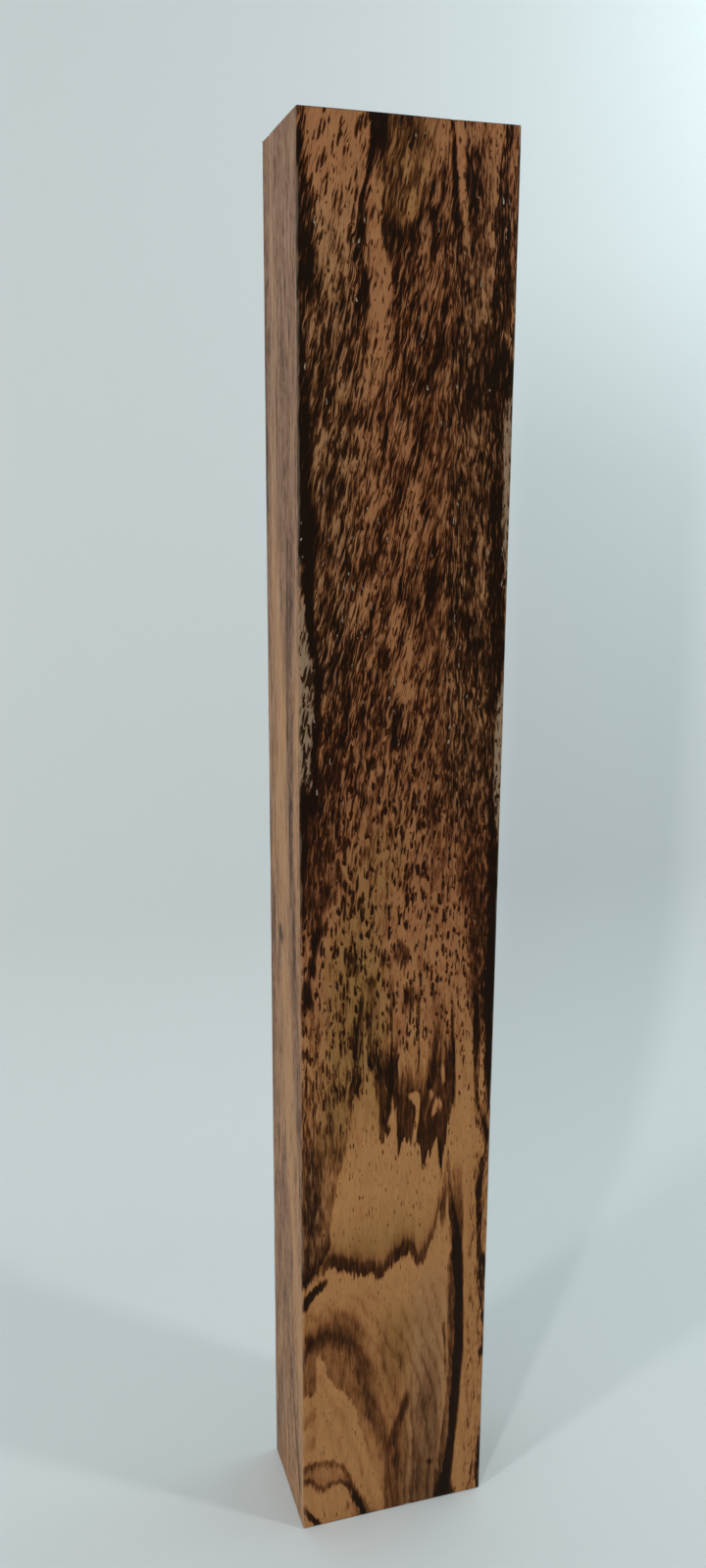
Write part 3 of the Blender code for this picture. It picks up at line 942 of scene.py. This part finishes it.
# %% The streaks of the narrow face
SIDE = [
    # light band
    [(20, 1.5, 2, -0.25), (44, 2.8, 3, -0.5), (64, 4.5, 3.2, -0.5), (84, 8, 3, -0.5),
     (104, 11.5, 3.5, -0.45), (124, 13, 4, -0.45), (144, 14.5, 3.6, -0.5), (164, 14.6, 2.6, -0.3),
     (184, 17, 3.6, -0.6), (204, 17.5, 3.5, -0.55), (224, 19, 4.5, -0.5), (244, 21.5, 3.4, -0.5),
     (264, 22.6, 2.2, -0.5), (284, 22.8, 2, -0.4), (304, 22, 2, -0.2), (324, 22.8, 1.6, -0.5),
     (344, 22, 2, -0.3)],
    # purple-brown band before it
    [(84, 0.5, 1.5, 0), (104, 1.2, 1.8, 0.45), (124, 3.4, 2.6, 0.45), (144, 6, 2.6, 0.5),
     (164, 7.4, 2.2, 0.6), (184, 8, 2.6, 0.6), (204, 9.2, 3, 0.7), (224, 9.4, 3, 0.7), (244, 9, 3.5, 0.6),
     (264, 10.5, 4.5, 0.3), (284, 12, 5, 0.3), (304, 13.5, 2, 0.3), (322, 14, 1.5, 0)],
    # back edge
    [(60, 29.5, 1.6, 0), (110, 29.5, 1.8, 0.2), (164, 28.5, 2.5, 0.6), (178, 29, 1.5, 0.1),
     (210, 29.4, 1, -0.2), (250, 29.5, 1.8, 0.25), (284, 29.5, 1.8, 0.35), (344, 29.2, 1.8, 0.15)],
    [(30, 24, 6, 0), (64, 20, 8, 0.25), (84, 20, 7, 0.3), (104, 25, 6, 0.25), (124, 28, 3, 0.1),
     (140, 30, 2, 0)],
    [(0, 27, 2, 0.4), (24, 25.5, 2.5, 0.45), (40, 25, 3, 0)],
    [(8, 3.8, 0.7, 0), (15, 4.4, 0.8, 0.8), (27, 7.4, 0.8, 0.8), (38, 10.4, 0.7, 0.7), (50, 14.4, 0.6, 0.6),
     (65, 16.4, 0.5, 0.4), (74, 17, 0.4, 0)],
    # pin knot and the dark wood it drags down
    [(156.5, 19.4, 1, 0), (158.5, 19.4, 2.6, 1.0), (161, 19.4, 2.6, 1.0), (163, 19.4, 1, 0)],
    [(138, 24, 1, 0), (154, 22, 1.8, 0.4), (161, 21, 1, 0)],
    # thin lines
    [(238, 23.9, 0.25, 0), (242, 23.9, 0.3, -0.5), (260, 23.9, 0.3, -0.5), (264, 23.9, 0.2, 0)],
    [(303, 22.4, 0.3, 0), (306, 22.4, 0.4, -0.6), (325, 22.4, 0.4, -0.6), (328, 22.4, 0.3, 0)],
    [(193, 13.4, 0.25, 0), (197, 13.4, 0.3, -0.5), (215, 13.4, 0.3, -0.5), (219, 13.4, 0.2, 0)],
    [(92, 15.6, 0.25, 0), (105, 15.6, 0.3, 0.5), (150, 13.4, 0.3, 0.5), (172, 12.8, 0.2, 0)],
    [(168, 4, 1.6, 0), (176, 3.2, 2, -0.25), (200, 3.4, 2.4, -0.15), (244, 3.4, 2.4, -0.2),
     (262, 3.4, 2, 0)],
]
side_level = streaks(SIDE, depth + waver * 0.5 + mottles * 0.06, 0.7) + long_lines * 0.34 - 0.66
side_level = side_level + between(up, 170, 300) * 0.17 + between(depth, 22, 28) * between(up, 150, 250) * 0.12
print("streaks:", len(SIDE), "on the narrow face")

# %% [markdown]
# A growth layer is where one number, summed from the depth, the height and the square of the way from the
# heart, stays the same. A sine of that number makes dark and pale layers in turn.

# %% Bow the layers of the wood behind
HEART_ACROSS = 21
LAYER_PITCH = 1.35
BEHIND_FROM = (1.0, 6.0)

bow = across - HEART_ACROSS
layer = depth * 0.55 + bow * bow * 0.016 - up * 0.03 + waver * 0.9
behind = (layer * LAYER_PITCH).math("SINE") * 0.8 + long_lines * 0.2 - 0.1
behind_share = between(across, BEHIND_FROM[0], BEHIND_FROM[1])
side_level = mixed(side_level, behind, behind_share)
level = mixed(side_level, level, near_front)
noise_share = mixed(behind_share * 0.4 + 0.4, noise_share, near_front)

# %% Break the level into mottle
MOTTLE_SHARE = 0.54
FIBRE_SHARE = 0.68
PALEST_LEVEL = -1.3
DARKEST_LEVEL = 1.5

patch_share = 0.4 - between(across, 32, 38) * near_front * 0.25
broken = level + (patches * patch_share + mottles * MOTTLE_SHARE + fibres * FIBRE_SHARE) * noise_share
darkness = between(broken, PALEST_LEVEL, DARKEST_LEVEL)

# %% [markdown]
# Low on the mottled part the black draws in to separate spots, like a leopard's. A Voronoi node scatters one
# point to a cell, and the distance to it makes a spot, whose size comes from the cell's own random colour.

# %% Scatter the spots
SPOT_LEVEL = [(122, 0), (135, 0.55), (160, 0.85), (175, 1), (200, 1), (222, 0.6), (344, 0.3)]
TICK_LEVEL = [(0, 0.33), (75, 0.25), (90, 0.38), (110, 0.48), (128, 0.85), (150, 0.95), (215, 1), (344, 0.9)]
FEW_GLINT = 0.95


def spots(place, size, seed, least, most, level):
    """Separate drawn-out spots, one to a cell, with the distances and random numbers they came from."""
    per_mm = tuple(1 / s for s in size)
    offset = (seed * 1.7, seed * 2.3, seed * 3.1)
    where = Field.node("VectorMath", {0: place, 1: per_mm, 2: offset}, operation="MULTIPLY_ADD")
    cell = Field.node("TexVoronoi", {"Vector": where, "Scale": 1.0}, voronoi_dimensions="2D").socket.node
    drawn = Field(cell.outputs["Color"]).parts()
    radius = (drawn[0] * (most - least) + least) * level
    distance = Field(cell.outputs["Distance"])
    return between(distance - radius, 0.09, -0.09), distance, drawn


shaken = vector(across + fibres * 0.1, up + mottles * 0.5, 0.0)
shaken_leaning = vector(across - curve_of(up, LEAN) + fibres * 0.07, up + mottles * 0.4, 0.0)
leopard, _, _ = spots(shaken, (1.4, 3.2, 1), 3, 0.02, 0.46, curve_of(up, SPOT_LEVEL))
tick_level = curve_of(up, TICK_LEVEL) + in_left_zone * between(up, 100, 120) * 0.45
upright_ticks, distance, drawn = spots(shaken, (0.85, 3.6, 1), 5, -0.25, 0.36, tick_level)
leaning_ticks, _, _ = spots(shaken_leaning, (0.85, 4.4, 1), 6, -0.22, 0.38, tick_level)
# Painted highlight: a few pale specks of pore dust, coloured as if they glint.
glints = between(distance, 0.17, 0.08) * drawn[1].math("GREATER_THAN", FEW_GLINT) * between(up, 180, 205)
glints = glints * darkness * near_front
ticks = mixed(upright_ticks, leaning_ticks, lean_share)
darkness = larger(darkness, larger(leopard * 0.9, ticks * 0.83) * near_front)

# %% [markdown]
# ## The colours
#
# Two things colour the wood. The ground is what it would be with no black in it: tan at the foot,
# darker and more orange above, olive and purple in places, and paler and greyer on the narrow face, where a
# grazing sheen is painted into the colour. The dye is a Color Ramp over the darkness, and it is multiplied
# over the ground, so that a half-dark place keeps the warmth of its ground.

# %% Mix the colours
TAN = (0.445, 0.207, 0.075, 1.0)
ORANGE = (0.365, 0.156, 0.063, 1.0)
# The narrow face's two grounds carry a painted sheen: both are paler and greyer than the wide face's tan.
SHEENED_SIDE_TAN = (0.450, 0.246, 0.118, 1.0)
SIDE_SHEEN_GREY = (0.385, 0.234, 0.150, 1.0)
OLIVE = (0.30, 0.155, 0.047, 1.0)
PURPLE = (0.39, 0.210, 0.095, 1.0)
GREY_TAN = (0.29, 0.19, 0.115, 1.0)
# The next two colours are the pore dust with its painted glint, and the rubbed arrises with their painted
# sheen.
GLINT = (0.52, 0.42, 0.30, 1.0)
WEAR_AND_SHEEN = (0.30, 0.215, 0.145, 1.0)
dye_stops = [
    (0.0, (1, 1, 1, 1)),
    (0.2, (0.72, 0.61, 0.56, 1)),
    (0.4, (0.435, 0.345, 0.285, 1)),
    (0.6, (0.235, 0.167, 0.124, 1)),
    (0.8, (0.106, 0.067, 0.040, 1)),
    (0.92, (0.062, 0.038, 0.022, 1)),
    (1.0, (0.030, 0.026, 0.022, 1)),
]
print("colour stops from pale to black:", len(dye_stops))

# %% Say where the wood is olive or purple
OLIVE_PLACES = [
    [(100, 6, 4, 0), (112, 8, 4, 0.7), (125, 10, 4, 0.8), (145, 12, 5, 0.9), (165, 14, 6, 0.7),
     (185, 20, 6, 0.4), (200, 22, 5, 0)],
    [(108, 20, 5, 0), (120, 19, 4, 0.6), (132, 18, 4, 0.7), (150, 18, 4, 0.4), (165, 20, 4, 0)],
    [(18, 6, 6, 0), (28, 8, 8, 0.05), (40, 24, 5, 0.5), (55, 26, 5, 0.7), (66, 27, 4, 0)],
    [(0, 28.3, 1.2, 0.9), (20, 28.3, 1, 0.8), (30, 28, 0.8, 0)],
    [(74, 20, 10, 0), (80, 20, 13, 0.7), (88, 22, 12, 0.3), (95, 22, 10, 0)],
]
PURPLE_PLACES = [
    [(0, 34, 5.5, 1), (30, 34, 5, 1), (60, 34.5, 5, 0.7), (80, 35, 4, 0)],
    [(72, 1.5, 2.5, 0), (84, 2, 3, 0.6), (100, 2.2, 3.5, 0.7), (118, 2, 3, 0)],
    [(205, 5, 7, 0), (235, 6, 8, 0.5), (315, 6, 8, 0.6), (335, 5, 6, 0)],
    [(180, 44, 7, 0), (205, 43, 8, 0.55), (300, 43, 8, 0.55), (330, 44, 8, 0.2), (344, 44, 8, 0)],
]
print("places:", len(OLIVE_PLACES), "olive and", len(PURPLE_PLACES), "purple")

# %% Colour it
WARMTH_RISES = (105, 170)
END_GRAIN = (0.15, 0.45)

# The ground turns darker as well as more orange from the foot towards the head.
warmth = between(up + patches * 6, WARMTH_RISES[0], WARMTH_RISES[1])
ground = blend(TAN, ORANGE, warmth)
ground = blend(ground, OLIVE, streaks(OLIVE_PLACES, shaken_across, 0.8) + olive_patch * 0.7)
ground = blend(ground, PURPLE, streaks(PURPLE_PLACES, shaken_across, 0.6))
ground = blend(ground, GREY_TAN, pale_edge)
# Painted sheen: the narrow face turns paler and greyer in its pale layers and towards the head.
side_sheen = between(side_level, -1.1, -0.1) + between(up + waver * 6, 200, 290) * 0.7
sheened_side_ground = blend(SHEENED_SIDE_TAN, SIDE_SHEEN_GREY, side_sheen)
ground = blend(sheened_side_ground, ground, larger(near_front, behind_share * 0.7))
mid_height = length / MM / 2
cut_end = between(abs(up - mid_height), mid_height - END_GRAIN[1], mid_height - END_GRAIN[0])
tone = (fibres * 0.07 + mottles * 0.05 + 1) * (1 - cut_end * (0.4 + fibres * 0.12))
dye = Field.node("ValToRGB", {"Fac": darkness}, stops=dye_stops)
figure = blend(ground, dye, 1.0, "MULTIPLY")
figure = Field.node("VectorMath", {0: figure, "Scale": tone}, operation="SCALE")

# %% [markdown]
# Three small things finish it. A few pores hold pale dust, and its glint is painted into the colour as a
# pale highlight. The arrises are rubbed paler where hands and tools have touched them, and a greyer sheen
# is painted along them too. And the pores are hollows: a Bump node draws them out along the grain, while
# the dense black wood takes a slightly better polish than the tan.

# %% Finish the surface
PORE_DEPTH = 0.012 * MM
PORE_STRENGTH = 0.6
TAN_ROUGHNESS = 0.58
BLACK_ROUGHNESS = 0.46
WEAR_AND_SHEEN_WIDTH = (0.22, 0.62)
WEAR_AND_SHEEN_SHARE = 0.3
GLINT_SHARE = 0.8
SPECULAR = 0.07

half_width = width / MM / 2
half_thickness = thickness / MM / 2
from_side = half_width - abs(across - half_width)
from_face = half_thickness - abs(depth - half_thickness)
# Rubbed arrises: paler from wear, with a painted sheen along the rounded edge.
wear_and_sheen = between(from_side + from_face + patches * 0.12, WEAR_AND_SHEEN_WIDTH[1], WEAR_AND_SHEEN_WIDTH[0])
# Pale pore dust with a painted glint.
figure = blend(figure, GLINT, glints * GLINT_SHARE)
figure = blend(figure, WEAR_AND_SHEEN, wear_and_sheen * WEAR_AND_SHEEN_SHARE)
roughness = darkness * (BLACK_ROUGHNESS - TAN_ROUGHNESS) + mottles * 0.02 + TAN_ROUGHNESS
pores = noise(upright, (0.3, 0.3, 6.0), 61, 1.0)
relief = Field.node("Bump", {"Height": pores, "Distance": PORE_DEPTH, "Strength": PORE_STRENGTH})

shader = Field.tree.nodes["Principled BSDF"]
figure.into(shader, "Base Color")
roughness.into(shader, "Roughness")
relief.into(shader, "Normal")
shader.inputs["Specular IOR Level"].default_value = SPECULAR
blank.data.materials.append(wood)
print("the wood's material has", len(Field.tree.nodes), "nodes")

# %% [markdown]
# ## Join the frame
#
# The dressed stick takes the plain solid's place in the frame and rides on its only body. The angle limit
# keeps the bevels soft and the saw marks crisp.

# %% Ride, replace and smooth
SMOOTH_BELOW = math.radians(35)

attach(blank, "root")
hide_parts("bocote_blank")
pick(blank)
blank.data.shade_smooth()
bpy.ops.object.shade_smooth_by_angle(angle=SMOOTH_BELOW)

print("triangles:", sum(len(face.vertices) - 2 for face in blank.data.polygons))
